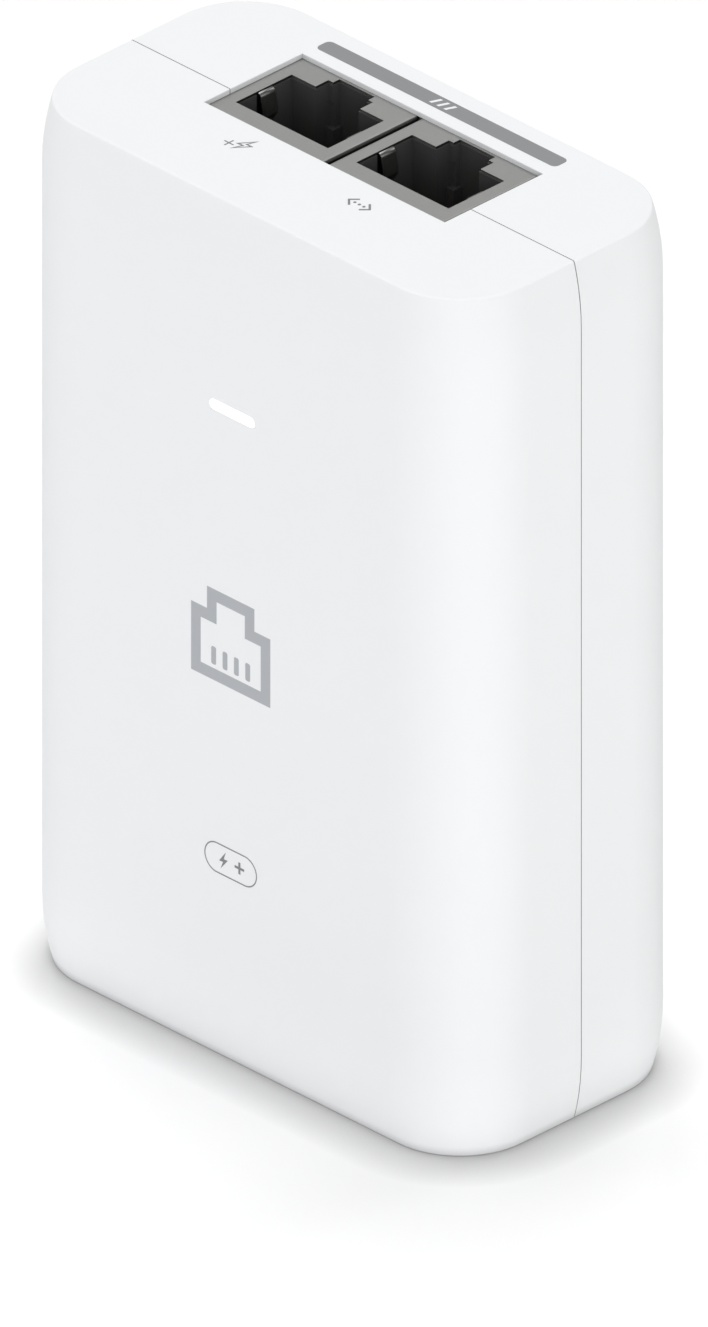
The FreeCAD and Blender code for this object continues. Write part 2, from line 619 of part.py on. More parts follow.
def make_board_screws():
    """Four pan-head screws that hold the board on the rear shell's bosses."""
    screws = []
    for column, x in enumerate(("-screw_x", "screw_x")):
        for row, z in enumerate(("screw_low", "screw_high")):
            tag = f"{column}{row}"
            head = solid_rod(f"screw_head_{tag}", "head_radius", "head_height", "y", x,
                             "board_front - head_height - 0.02", z)
            shank = solid_rod(f"screw_shank_{tag}", "shank_radius", "shank_length", "y", x,
                              "board_front - 0.1", z)
            slot_wide = solid_box(f"screw_slot_a{tag}", (f"{x} - 1.2", f"{x} + 1.2"),
                                  ("board_front - head_height - 1", "board_front - head_height/2"),
                                  (f"{z} - 0.2", f"{z} + 0.2"))
            slot_tall = solid_box(f"screw_slot_b{tag}", (f"{x} - 0.2", f"{x} + 0.2"),
                                  ("board_front - head_height - 1", "board_front - head_height/2"),
                                  (f"{z} - 1.2", f"{z} + 1.2"))
            whole = join(f"screw_solid_{tag}", [head, shank])
            cross = join(f"screw_cross_{tag}", [slot_wide, slot_tall])
            screws.append(subtract(f"screw_{tag}", whole, cross))
    group = doc.addObject("Part::Compound", "screws_all")
    group.Links = screws
    finish("board_screws", group)


def make_insulation():
    """The thin sheet between the solder side and the rear shell, holed for the bosses."""
    body = new_body("insulation_sheet")
    near = "(board_front + board_thick + film_gap)"
    film = new_sketch(body, "film_shape", "XZ_Plane", f"-{near}")
    rectangle(film, "-board_width/2 + 1", "board_width/2 - 1", "board_low + 0.5", "board_high - 1")
    pad(body, film, "film", backwards=True)
    holes = new_sketch(body, "film_holes", "XZ_Plane", f"-({near} + 2*film)")
    for x in ("-screw_x", "screw_x"):
        for z in ("screw_low", "screw_high"):
            circle(holes, x, z, "boss_radius + 0.3")
    pocket(body, holes, "3*film", backwards=True)
    finish("insulation_sheet", body)


# ---------------------------------------------------------------- parts on the board
def fitted_box(node):
    """A rectangular part that stands on the board, from its row of the table."""
    return solid_box(f"{node}_block", (f"{node}_x - {node}_width/2", f"{node}_x + {node}_width/2"),
                     (f"board_front - {node}_reach", "board_front - 0.05"),
                     (f"{node}_z - {node}_height/2", f"{node}_z + {node}_height/2"))


def make_fitted_parts():
    for node in FITTED:
        base = fitted_box(node)
        notch = solid_rod(f"{node}_dot", f"{node}_height/8", "1", "y",
                          f"{node}_x - {node}_width/2 + {node}_height/4",
                          f"board_front - {node}_reach - 0.8", f"{node}_z + {node}_height/4")
        finish(node, subtract(f"{node}_marked", base, notch))


def make_round_parts():
    """Discs and cans that lie along Z, and the small choke that lies along X."""
    for node in ROUND:
        axis = "x" if node == "output_choke" else "z"
        x, z = f"{node}_x", f"{node}_z"
        if axis == "x":
            x = f"{node}_x - {node}_length/2"
        else:
            z = f"{node}_z - {node}_length/2"
        y = f"board_front - {node}_off"
        core = solid_rod(f"{node}_core", f"{node}_radius", f"{node}_length", axis, x, y, z)
        if node in ("bulk_capacitor", "output_choke"):
            ring = doc.addObject("Part::Torus", f"{node}_groove")
            ring.Placement = FreeCAD.Placement(Vector(), AXIS_TURN[axis])
            along = f"{node}_length*0.1"
            bind(ring, Radius1=f"{node}_radius", Radius2="0.5",
                 Placement_Base_x=f"{x} + {along}" if axis == "x" else x, Placement_Base_y=y,
                 Placement_Base_z=z if axis == "x" else f"{z} + {along}")
            core = subtract(f"{node}_beaded", core, ring)
        else:
            legs = [solid_rod(f"{node}_leg_{place}", "0.3", f"{node}_off - 0.05", "y",
                              f"{node}_x + {offset}", y, f"{node}_z")
                    for place, offset in enumerate(("-2.5", "2.5"))]
            core = join(f"{node}_legged", [core] + legs)
        finish(node, core)


def make_output_capacitors():
    """Two equal cans that stand on the board, each with a bead rolled in near its foot."""
    for node, middle in (("output_capacitor_left", "can_left"), ("output_capacitor_right", "can_right")):
        can = solid_rod(f"{node}_can", "can_radius", "can_length", "y", middle,
                        "board_front - can_length - 0.05", "can_z")
        bead = [solid_rod(f"{node}_{word}", radius, "bead_width", "y", middle,
                          "board_front - bead_height", "can_z")
                for word, radius in (("around", "can_radius + 1"), ("neck", "can_radius - bead_depth"))]
        finish(node, subtract(f"{node}_beaded", can, subtract(f"{node}_bead", *bead)))


def make_line_choke():
    """The common-mode choke: a ring core standing on its side, with two wound halves."""
    def ring(name, outer, inner, low, high):
        shell = [solid_rod(f"{name}_{word}", radius, f"({high}) - ({low})", "y", "choke_x", low,
                           "choke_z") for word, radius in (("outer", outer), ("inner", inner))]
        return subtract(name, *shell)
    front, rear = "board_front - choke_height - choke_wire - 0.3", "board_front - choke_wire - 0.3"
    finish("line_choke_core", ring("choke_ring", "choke_outer", "choke_inner", front, rear))
    wound = ring("choke_wound", "choke_outer + choke_wire", "choke_inner - choke_wire",
                 f"{front} - choke_wire", f"{rear} + choke_wire")
    room = ring("choke_room", "choke_outer + 0.05", "choke_inner - 0.05", f"{front} - 0.05",
                f"{rear} + 0.05")
    gap = solid_box("choke_parting", ("choke_x - choke_gap/2", "choke_x + choke_gap/2"),
                    (f"{front} - 3", "board_front"), ("choke_z - 10", "choke_z + 10"))
    finish("line_choke_winding", subtract("choke_halves", subtract("choke_jacket", wound, room), gap))


def make_transformer():
    """The flyback transformer: E-core pair, bobbin and winding, its centre leg upright."""
    left, low = "(core_x - core_size/2)", "(core_z - core_size/2)"
    front, rear = "coil_y - core_reach/2", "coil_y + core_reach/2"
    body = new_body("transformer_core")
    block(body, "core_block", (left, f"{left} + core_size"), (front, rear), (low, f"{low} + core_size"))
    for sign, word in ((-1, "left"), (1, "right")):
        near, far = f"core_x + {sign}*core_leg/2", f"core_x + {sign}*(core_leg/2 + core_window)"
        x = (far, near) if sign < 0 else (near, far)
        block(body, f"core_window_{word}", x, (f"{front} - 1", f"{rear} + 1"),
              (f"{low} + core_yoke", f"{low} + core_size - core_yoke"), cut=True)
    finish("transformer_core", body)

    inner_x, inner_y = "(core_leg/2 + bobbin_play)", "(core_reach/2 + bobbin_play)"
    bobbin = new_body("transformer_bobbin")
    z_low, z_high = f"{low} + core_yoke + bobbin_play", f"{low} + core_size - core_yoke - bobbin_play"
    for word, start, stop in (("lower", z_low, f"{z_low} + bobbin_flange"),
                              ("upper", f"{z_high} - bobbin_flange", z_high)):
        block(bobbin, f"bobbin_{word}", (f"core_x - core_leg/2 - core_window + bobbin_play",
                                         f"core_x + core_leg/2 + core_window - bobbin_play"),
              ("coil_y - 9.4", "board_front - 0.1"), (start, stop))
    block(bobbin, "bobbin_tube", (f"core_x - {inner_x} - bobbin_wall", f"core_x + {inner_x} + bobbin_wall"),
          (f"coil_y - {inner_y} - bobbin_wall", f"coil_y + {inner_y} + bobbin_wall"), (z_low, z_high))
    block(bobbin, "bobbin_bore", (f"core_x - {inner_x}", f"core_x + {inner_x}"),
          (f"coil_y - {inner_y}", f"coil_y + {inner_y}"), (f"{z_low} - 1", f"{z_high} + 1"), cut=True)
    finish("transformer_bobbin", bobbin)

    winding = new_body("transformer_winding")
    turns = new_sketch(winding, "turns", "XY_Plane", f"{z_low} + bobbin_flange + 0.05")
    tube_x, tube_y = f"{inner_x} + bobbin_wall + 0.05", f"{inner_y} + bobbin_wall + 0.05"
    rounded(turns, f"core_x - ({tube_x} + winding_build)", f"core_x + ({tube_x} + winding_build)",
            f"coil_y - ({tube_y} + winding_build*0.6)", f"coil_y + ({tube_y} + winding_build*0.6)",
            "winding_build*0.6")
    rectangle(turns, f"core_x - ({tube_x})", f"core_x + {tube_x}", f"coil_y - ({tube_y})",
              f"coil_y + {tube_y}")
    pad(winding, turns, f"({z_high}) - ({z_low}) - 2*bobbin_flange - 0.1")
    finish("transformer_winding", winding)


def make_power_device(device, sink, low, high):
    """A heatsink plate on the board, and the three-legged device clamped against it."""
    inner = "sink_x - sink_thick/2"
    plate = solid_box(f"{sink}_plate", (inner, "sink_x + sink_thick/2"),
                      ("sink_front", "board_front - 0.05"), (low, high))
    flange = solid_box(f"{sink}_flange", (f"{inner} - 4", "sink_x + sink_thick/2"),
                       ("sink_front", "sink_front + sink_thick"), (low, high))
    finish(sink, join(f"{sink}_angle", [plate, flange]))
    middle = f"({low} + {high})/2"
    face = f"{inner} - 0.05"
    case = solid_box(f"{device}_case", (f"{face} - device_thick", face),
                     ("device_front", "device_front + device_height"),
                     (f"{middle} - device_width/2", f"{middle} + device_width/2"))
    legs = [solid_box(f"{device}_leg_{place}", (f"{face} - 2.6", f"{face} - 2.1"),
                      ("device_front + device_height - 0.5", "board_front - 0.05"),
                      (f"{middle} + {shift} - 0.4", f"{middle} + {shift} + 0.4"))
            for place, shift in enumerate((-2.54, 0, 2.54))]
    finish(device, join(f"{device}_legged", [case] + legs))


def make_sheets():
    """The insulating barrier between mains and output side, and the thermal pad."""
    finish("insulation_barrier", solid_box("barrier_wall", ("barrier_left", "barrier_right"),
           ("coil_y - 11", "board_front - 0.05"), ("barrier_z", "barrier_z + barrier_thick")))
    body = new_body("thermal_pad")
    face = new_sketch(body, "pad_face", "XZ_Plane", "9.5")
    rounded(face, "core_x - pad_width/2", "core_x + pad_width/2", "core_z - pad_height/2",
            "core_z + pad_height/2", "inlet_corner")
    pad(body, face, "case_depth/2 - wall - 9.5 - 0.05")
    finish("thermal_pad", body)


# ---------------------------------------------------------------- status light
def make_light():
    """The clear lens in the front face and the light pipe that feeds it from the board."""
    lens = new_body("light_lens")
    face = new_sketch(lens, "lens_face", "XZ_Plane", "case_depth/2 - wall - 0.5")
    rounded(face, "light_x - light_width/2 + 0.03", "light_x + light_width/2 - 0.03",
            "light_z - light_height/2 + 0.03", "light_z + light_height/2 - 0.03",
            "light_height*0.499 - 0.03")
    pad(lens, face, "wall + 0.5 - 0.02")
    block(lens, "lens_flange", ("light_x - light_width/2 - 1", "light_x + light_width/2 + 1"),
          ("-case_depth/2 + wall + 0.05", "-case_depth/2 + wall + 1"),
          ("pipe_z - pipe_size/2", "light_z + light_height/2 + 0.8"))
    finish("light_lens", lens)
    pipe = new_body("light_pipe")
    block(pipe, "pipe_bar", ("-pipe_size/2", "pipe_size/2"),
          ("-case_depth/2 + wall + 1.2", "board_front - status_led_reach - 0.2"),
          ("pipe_z - pipe_size/2", "pipe_z + pipe_size/2"))
    block(pipe, "pipe_head", ("light_x - light_width/2", "light_x + light_width/2"),
          ("-case_depth/2 + wall + 1.1", "-case_depth/2 + wall + 2.6"),
          ("pipe_z - pipe_size/2", "light_z + light_height/2"))
    finish("light_pipe", pipe)


def make_everything():
    make_front_shell()
    make_rear_shell()
    make_label()
    for jack, middle in JACKS.items():
        make_jack_shield(jack, middle)
        make_jack_housing(jack, middle)
        make_jack_contacts(jack, middle)
        make_jack_finger(jack, middle, "left", -1)
        make_jack_finger(jack, middle, "right", 1)
    make_inlet()
    make_board()
    make_board_screws()
    make_insulation()
    make_fitted_parts()
    make_round_parts()
    make_output_capacitors()
    make_line_choke()
    make_transformer()
    make_power_device("switching_transistor", "primary_heatsink", "primary_low", "primary_high")
    make_power_device("output_rectifier", "secondary_heatsink", "secondary_low", "secondary_high")
    make_sheets()
    make_light()


def write_parts():
    """Check every object, then write one file per sub-part."""
    doc.recompute()
    for thing in doc.Objects:
        if {"Invalid", "Error"} & set(thing.State):
            raise RuntimeError(f"{thing.Name} failed: {thing.State}")
    for thing in NODES:
        if thing.Shape.isNull() or not thing.Shape.isValid():
            raise RuntimeError(f"{thing.Label} has no valid shape")
    os.makedirs("parts", exist_ok=True)
    for thing in NODES:
        thing.Shape.exportStep(f"parts/{thing.Label}.step")
        print(f"{thing.Label}: {len(thing.Shape.Solids)} solid(s), {thing.Shape.Volume:.1f} mm3")


make_everything()
write_parts()
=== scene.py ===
import json
import math

import bmesh
import bpy
from mathutils import Matrix, Vector

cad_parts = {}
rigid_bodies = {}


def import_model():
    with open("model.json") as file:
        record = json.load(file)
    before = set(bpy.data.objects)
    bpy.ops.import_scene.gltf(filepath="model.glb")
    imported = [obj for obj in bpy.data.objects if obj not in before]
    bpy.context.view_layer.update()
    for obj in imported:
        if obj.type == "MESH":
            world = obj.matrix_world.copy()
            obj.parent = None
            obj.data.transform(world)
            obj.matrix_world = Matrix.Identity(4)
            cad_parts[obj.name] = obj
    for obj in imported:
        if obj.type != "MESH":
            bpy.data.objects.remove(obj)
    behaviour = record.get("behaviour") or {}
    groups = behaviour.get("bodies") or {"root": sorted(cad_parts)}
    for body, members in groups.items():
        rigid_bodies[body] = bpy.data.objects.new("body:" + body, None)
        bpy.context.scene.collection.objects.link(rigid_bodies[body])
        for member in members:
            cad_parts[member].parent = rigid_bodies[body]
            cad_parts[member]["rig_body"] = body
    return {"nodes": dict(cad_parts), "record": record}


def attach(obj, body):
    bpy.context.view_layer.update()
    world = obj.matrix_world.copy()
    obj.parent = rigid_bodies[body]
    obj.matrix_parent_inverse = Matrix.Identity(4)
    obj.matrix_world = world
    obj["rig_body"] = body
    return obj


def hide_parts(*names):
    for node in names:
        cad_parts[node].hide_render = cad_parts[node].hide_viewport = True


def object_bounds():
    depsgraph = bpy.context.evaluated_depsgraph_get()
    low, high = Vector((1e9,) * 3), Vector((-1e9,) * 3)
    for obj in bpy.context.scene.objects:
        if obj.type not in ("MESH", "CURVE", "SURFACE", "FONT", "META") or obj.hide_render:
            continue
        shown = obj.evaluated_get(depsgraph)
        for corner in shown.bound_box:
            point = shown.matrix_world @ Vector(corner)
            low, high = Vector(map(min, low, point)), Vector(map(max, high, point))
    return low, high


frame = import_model()
CAD_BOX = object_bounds()
LOW, HIGH = (Vector(corner) for corner in CAD_BOX)
MM = 0.001
NODES = frame["nodes"]
SLOTS = {row["node"]: row["material_slot"] for row in frame["record"]["subparts"]}
ROOT = "injector"
SCENE = bpy.context.scene


# ---------------------------------------------------------------- shader building blocks
def new_material(name, color, roughness, metallic=0.0, coat=0.0):
    """A Principled material; returns it with its node tree and its shader."""
    material = bpy.data.materials.new(name)
    material.use_nodes = True
    tree = material.node_tree
    shader = tree.nodes["Principled BSDF"]
    shader.inputs["Base Color"].default_value = (*color, 1)
    shader.inputs["Roughness"].default_value = roughness
    shader.inputs["Metallic"].default_value = metallic
    shader.inputs["Coat Weight"].default_value = coat
    return material, tree, shader


def noise(tree, size_mm, detail=2.0, stretch=(1, 1, 1)):
    """Noise in object space whose features are about size_mm across, drawn out by stretch."""
    place = tree.nodes.new("ShaderNodeTexCoord")
    scale = tree.nodes.new("ShaderNodeMapping")
    scale.inputs["Scale"].default_value = [part / (size_mm * MM) for part in stretch]
    pattern = tree.nodes.new("ShaderNodeTexNoise")
    pattern.inputs["Scale"].default_value = 1.0
    pattern.inputs["Detail"].default_value = detail
    tree.links.new(place.outputs["Object"], scale.inputs["Vector"])
    tree.links.new(scale.outputs["Vector"], pattern.inputs["Vector"])
    return pattern.outputs["Fac"]


def spread(tree, value, low, high):
    """Turn a 0..1 pattern into a value between low and high."""
    ramp = tree.nodes.new("ShaderNodeMapRange")
    ramp.inputs["From Min"].default_value = 0.3
    ramp.inputs["From Max"].default_value = 0.7
    ramp.inputs["To Min"].default_value = low
    ramp.inputs["To Max"].default_value = high
    tree.links.new(value, ramp.inputs["Value"])
    return ramp.outputs["Result"]


def vary_color(tree, shader, value, color, swing):
    """Let a pattern move the base colour a little darker and lighter."""
    mix = tree.nodes.new("ShaderNodeMix")
    mix.data_type = "RGBA"
    darker, lighter = ([min(part * (1 + sign * swing), 1) for part in color] for sign in (-1, 1))
    mix.inputs["A"].default_value = (*darker, 1)
    mix.inputs["B"].default_value = (*lighter, 1)
    tree.links.new(value, mix.inputs["Factor"])
    tree.links.new(mix.outputs["Result"], shader.inputs["Base Color"])


def add_bump(tree, shader, value, height_mm, strength):
    """Raise and sink the surface by a pattern."""
    bump = tree.nodes.new("ShaderNodeBump")
    bump.inputs["Strength"].default_value = strength
    bump.inputs["Distance"].default_value = height_mm * MM
    tree.links.new(value, bump.inputs["Height"])
    tree.links.new(bump.outputs["Normal"], shader.inputs["Normal"])


def moulded(name, color, roughness, grain_mm=0.25, height_mm=0.004, swing=0.015, coat=0.0):
    """Moulded plastic: a fine spark-eroded grain, with slow changes of tone and gloss."""
    material, tree, shader = new_material(name, color, roughness, coat=coat)
    vary_color(tree, shader, noise(tree, 9, 3), color, swing)
    gloss = spread(tree, noise(tree, 4, 4), roughness * 0.92, min(roughness * 1.08, 1))
    tree.links.new(gloss, shader.inputs["Roughness"])
    add_bump(tree, shader, noise(tree, grain_mm, 3), height_mm, 0.5)
    return material


def base_color(material):
    """The node tree and shader of a material, and what now feeds its base colour."""
    tree = material.node_tree
    shader = tree.nodes["Principled BSDF"]
    return tree, shader, shader.inputs["Base Color"].links[0].from_socket


def paint_recess_shade(material, reach_mm, amount, clear=1.0):
    """Paint shade into the base colour: darker where other surfaces stand close by.

    Spots where at least the share `clear` of the surroundings is open keep their full colour.
    """
    tree, shader, tone = base_color(material)
    recess = tree.nodes.new("ShaderNodeAmbientOcclusion")
    recess.inputs["Distance"].default_value = reach_mm * MM
    recess.samples = 8
    openness = tree.nodes.new("ShaderNodeMapRange")
    openness.inputs["From Max"].default_value = clear
    tree.links.new(recess.outputs["AO"], openness.inputs["Value"])
    shade = tree.nodes.new("ShaderNodeMix")
    shade.data_type = "RGBA"
    shade.blend_type = "MULTIPLY"
    shade.inputs["Factor"].default_value = amount
    tree.links.new(tone, shade.inputs["A"])
    tree.links.new(openness.outputs["Result"], shade.inputs["B"])
    tree.links.new(shade.outputs["Result"], shader.inputs["Base Color"])
    return material


def paint_floor_bounce_light(material, height_mm, amount):
    """Paint light into the base colour: a little lighter towards the floor, for the light the floor
    throws back up.
    """
    tree, shader, tone = base_color(material)
    place = tree.nodes.new("ShaderNodeNewGeometry")
    parts = tree.nodes.new("ShaderNodeSeparateXYZ")
    nearness = tree.nodes.new("ShaderNodeMapRange")
    nearness.inputs["From Max"].default_value = height_mm * MM
    nearness.inputs["To Min"].default_value = 1.0
    nearness.inputs["To Max"].default_value = 0.0
    curve = tree.nodes.new("ShaderNodeMath")
    curve.operation = "POWER"
    curve.inputs[1].default_value = 3.0
    gain = tree.nodes.new("ShaderNodeMath")
    gain.operation = "MULTIPLY_ADD"
    gain.inputs[1].default_value = amount
    gain.inputs[2].default_value = 1.0
    lift = tree.nodes.new("ShaderNodeVectorMath")
    lift.operation = "SCALE"
    tree.links.new(place.outputs["Position"], parts.inputs["Vector"])
    tree.links.new(parts.outputs["Z"], nearness.inputs["Value"])
    tree.links.new(nearness.outputs["Result"], curve.inputs[0])
    tree.links.new(curve.outputs["Value"], gain.inputs[0])
    tree.links.new(tone, lift.inputs["Vector"])
    tree.links.new(gain.outputs["Value"], lift.inputs["Scale"])
    tree.links.new(lift.outputs["Vector"], shader.inputs["Base Color"])


def casing(name, color, roughness):
    """The casing's fine-grained satin plastic, with painted light towards the floor and painted shade
    in its recesses.
    """
    material = moulded(name, color, roughness, 0.22, 0.003, 0.004)
    shader = material.node_tree.nodes["Principled BSDF"]
    shader.inputs["Specular IOR Level"].default_value = 0.3
    # Painted light: the base colour is lighter towards the floor.
    paint_floor_bounce_light(material, 20, 0.155)
    # Painted shade: the base colour is darker in recesses and corners.
    return paint_recess_shade(material, 1.1, 0.45)


def rolled_metal(name, color, roughness, stretch=(1, 12, 12), swing=0.06, grain_mm=0.9,
                 relief_mm=0.002):
    """Sheet or wire metal with faint rolling lines along one axis."""
    material, tree, shader = new_material(name, color, roughness, metallic=1.0)
    vary_color(tree, shader, noise(tree, grain_mm, 4, stretch), color, swing)
    gloss = spread(tree, noise(tree, grain_mm / 2, 4, stretch), roughness * 0.8, roughness * 1.25)
    tree.links.new(gloss, shader.inputs["Roughness"])
    add_bump(tree, shader, noise(tree, grain_mm / 3, 3, stretch), relief_mm, 0.35)
    return material


def paint_shade_facing(material, direction, least):
    """Paint shade into the base colour: darker where the surface faces a direction, down to a share
    of it.
    """
    tree, shader, tone = base_color(material)
    place = tree.nodes.new("ShaderNodeNewGeometry")
    facing = tree.nodes.new("ShaderNodeVectorMath")
    facing.operation = "DOT_PRODUCT"
    facing.inputs[1].default_value = direction
    dim = tree.nodes.new("ShaderNodeMapRange")
    dim.interpolation_type = "SMOOTHSTEP"
    dim.inputs["From Min"].default_value = 0.1
    dim.inputs["From Max"].default_value = 0.75
    dim.inputs["To Min"].default_value = 1.0
    dim.inputs["To Max"].default_value = least
    shade = tree.nodes.new("ShaderNodeVectorMath")
    shade.operation = "SCALE"
    tree.links.new(place.outputs["Normal"], facing.inputs[0])
    tree.links.new(facing.outputs["Value"], dim.inputs["Value"])
    tree.links.new(tone, shade.inputs["Vector"])
    tree.links.new(dim.outputs["Result"], shade.inputs["Scale"])
    tree.links.new(shade.outputs["Vector"], shader.inputs["Base Color"])
    return material


def shield_metal(name, color, roughness):
    """The shields' nickel plate, with painted shade in the gaps and on the bends that face right."""
    material = rolled_metal(name, color, roughness, swing=0.035)
    # Painted shade: darker on the bends that face right.
    paint_shade_facing(material, (1, 0, 0), 0.25)
    # Painted shade: darker in the gaps between the shields.
    return paint_recess_shade(material, 0.9, 0.9, 0.5)


def glowing(name, color, strength):
    """A milky lit plastic."""
    material, tree, shader = new_material(name, color, 0.3)
    shader.inputs["Emission Color"].default_value = (*color, 1)
    shader.inputs["Emission Strength"].default_value = strength
    vary_color(tree, shader, noise(tree, 2, 2), color, 0.01)
    return material


def laminate(name, color):
    """Solder mask over woven glass cloth, with faint copper tracks showing through."""
    material, tree, shader = new_material(name, color, 0.32, coat=0.4)
    place = tree.nodes.new("ShaderNodeTexCoord")
    weave = tree.nodes.new("ShaderNodeTexBrick")
    weave.inputs["Scale"].default_value = 1 / (7 * MM)
    weave.inputs["Color1"].default_value = (*[part * 0.85 for part in color], 1)
    weave.inputs["Color2"].default_value = (*[part * 1.15 for part in color], 1)
    weave.inputs["Mortar"].default_value = (*[part * 1.7 for part in color], 1)
    weave.inputs["Mortar Size"].default_value = 0.03
    turn = tree.nodes.new("ShaderNodeMapping")
    turn.inputs["Rotation"].default_value = (math.radians(90), 0, 0)
    tree.links.new(place.outputs["Object"], turn.inputs["Vector"])
    tree.links.new(turn.outputs["Vector"], weave.inputs["Vector"])
    tree.links.new(weave.outputs["Color"], shader.inputs["Base Color"])
    add_bump(tree, shader, weave.outputs["Fac"], 0.02, 0.4)
    return material


def wound(name, color, roughness, pitch_mm, axis):
    """Turns of wire or tape lying side by side along an axis."""
    material, tree, shader = new_material(name, color, roughness, coat=0.3)
    place = tree.nodes.new("ShaderNodeTexCoord")
    bands = tree.nodes.new("ShaderNodeTexWave")
    bands.bands_direction = axis
    bands.inputs["Scale"].default_value = 1 / (pitch_mm * MM) / 3.2
    bands.inputs["Distortion"].default_value = 0.2
    tree.links.new(place.outputs["Object"], bands.inputs["Vector"])
    vary_color(tree, shader, bands.outputs["Fac"], color, 0.25)
    add_bump(tree, shader, bands.outputs["Fac"], pitch_mm * 0.3, 0.8)
    return material


MATERIALS = {
    "casing_plastic": casing("casing_plastic", (0.80, 0.808, 0.823), 0.55),
    "label_film": moulded("label_film", (0.74, 0.745, 0.75), 0.3, 0.5, 0.001, 0.006, coat=0.3),
    "lens_plastic": glowing("lens_plastic", (1.0, 1.0, 1.0), 0.5),
    "pipe_plastic": moulded("pipe_plastic", (0.80, 0.83, 0.86), 0.12, 0.8, 0.001, 0.01, coat=0.5),
    "jack_nickel": shield_metal("jack_nickel", (0.36, 0.36, 0.352), 0.42),
    "finger_nickel": rolled_metal("finger_nickel", (0.2, 0.2, 0.196), 0.36),
    "jack_plastic": moulded("jack_plastic", (0.05, 0.05, 0.051), 0.42, 0.12, 0.004, 0.08),
    "contact_gold": rolled_metal("contact_gold", (0.94, 0.70, 0.31), 0.34, (12, 12, 1), 0.03, 0.6,
                                 0.0003),
    "inlet_plastic": moulded("inlet_plastic", (0.025, 0.025, 0.026), 0.45, 0.2, 0.006, 0.08),
    "pin_nickel": rolled_metal("pin_nickel", (0.72, 0.70, 0.65), 0.2, (12, 12, 1), 0.05, 0.8),
    "board_laminate": laminate("board_laminate", (0.03, 0.16, 0.07)),
    "screw_steel": rolled_metal("screw_steel", (0.55, 0.55, 0.53), 0.3),
    "insulation_film": moulded("insulation_film", (0.80, 0.77, 0.66), 0.25, 1.0, 0.002, 0.02, 0.3),
    "fuse_plastic": moulded("fuse_plastic", (0.04, 0.04, 0.04), 0.4),
    "capacitor_yellow": moulded("capacitor_yellow", (0.70, 0.47, 0.05), 0.35, 0.5, 0.004, 0.03),
    "component_black": moulded("component_black", (0.028, 0.028, 0.03), 0.55, 0.1, 0.006, 0.06),
    "varistor_blue": moulded("varistor_blue", (0.03, 0.12, 0.38), 0.3, 1.2, 0.03, 0.08, coat=0.3),
    "thermistor_black": moulded("thermistor_black", (0.03, 0.04, 0.03), 0.4, 1.2, 0.03, 0.08),
    "capacitor_sleeve": moulded("capacitor_sleeve", (0.03, 0.035, 0.05), 0.25, 2, 0.004, 0.05, 0.4),
    "ferrite": moulded("ferrite", (0.055, 0.055, 0.057), 0.6, 0.15, 0.012, 0.12),
    "copper_wire": wound("copper_wire", (0.60, 0.22, 0.08), 0.28, 0.6, "Z"),
    "winding_tape": wound("winding_tape", (0.78, 0.58, 0.08), 0.3, 3.0, "Z"),
    "bobbin_plastic": moulded("bobbin_plastic", (0.05, 0.05, 0.055), 0.5),
    "sink_aluminium": rolled_metal("sink_aluminium", (0.72, 0.73, 0.74), 0.38),
    "pad_rubber": moulded("pad_rubber", (0.32, 0.40, 0.46), 0.75, 0.3, 0.02, 0.05),
    "led_white": glowing("led_white", (0.95, 0.95, 0.88), 0.6),
    "print_dark": moulded("print_dark", (0.232, 0.236, 0.243), 0.55, 0.3, 0.002, 0.02),
    "print_mid": moulded("print_mid", (0.385, 0.398, 0.424), 0.55, 0.3, 0.002, 0.01),
    "print_fine": moulded("print_fine", (0.20, 0.203, 0.21), 0.55, 0.3, 0.002, 0.01),
}


def dress_nodes():
    """Give every carried-over CAD node the procedural material of its record slot."""
    for name, thing in NODES.items():
        thing.data.materials.clear()
        thing.data.materials.append(MATERIALS[SLOTS[name]])


dress_nodes()


# Points this close are one point, and edges sharper than this many degrees are rounded.
WELD, SHARP_EDGE = 0.0005 * MM, 30


def soften(node, width_mm, finish=None, steps=2):
    """A copy of a node's mesh with every sharp edge rounded off, to stand for the node."""
    source = NODES[node]
    mesh = bmesh.new()
    mesh.from_mesh(source.data)
    bmesh.ops.transform(mesh, matrix=source.matrix_world, verts=mesh.verts)
    bmesh.ops.remove_doubles(mesh, verts=mesh.verts, dist=WELD)
    data = bpy.data.meshes.new(f"{node}_fine")
    mesh.to_mesh(data)
    mesh.free()
    data.shade_smooth()
    data.materials.append(MATERIALS[finish or SLOTS[node]])
    thing = bpy.data.objects.new(f"{node}_fine", data)
    SCENE.collection.objects.link(thing)
    bevel = thing.modifiers.new("soft_edges", "BEVEL")
    bevel.width = width_mm * MM
    bevel.segments = steps
    bevel.limit_method = "ANGLE"
    bevel.angle_limit = math.radians(SHARP_EDGE)
    bevel.harden_normals = True
    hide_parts(node)
    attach(thing, source["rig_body"])


for jack in ("poe", "data"):
    soften(f"{jack}_jack_finger_left", 0.05, "finger_nickel")
    soften(f"{jack}_jack_finger_right", 0.05, "finger_nickel")
    soften(f"{jack}_jack_contact_springs", 0.04)
soften("inlet_pins", 0.12, steps=3)
soften("rating_label", 0.04)


# ---------------------------------------------------------------- printed marks
PRINT = 0.012 * MM
TOP, FRONT = HIGH.z, LOW.y


def on_top(x, y, lift):
    """A point of the top face, raised by a little."""
    return Vector((x, y, TOP + lift))


def on_front(x, z, lift):
    """A point of the front face, raised by a little."""
    return Vector((x, FRONT - lift, z))


def arc(x, y, radius, start, stop, steps=12):
    """Points on an arc, in millimetres, from one angle to another in degrees."""
    turns = [math.radians(start + (stop - start) * step / steps) for step in range(steps + 1)]
    return [(x + radius * math.cos(turn), y + radius * math.sin(turn)) for turn in turns]


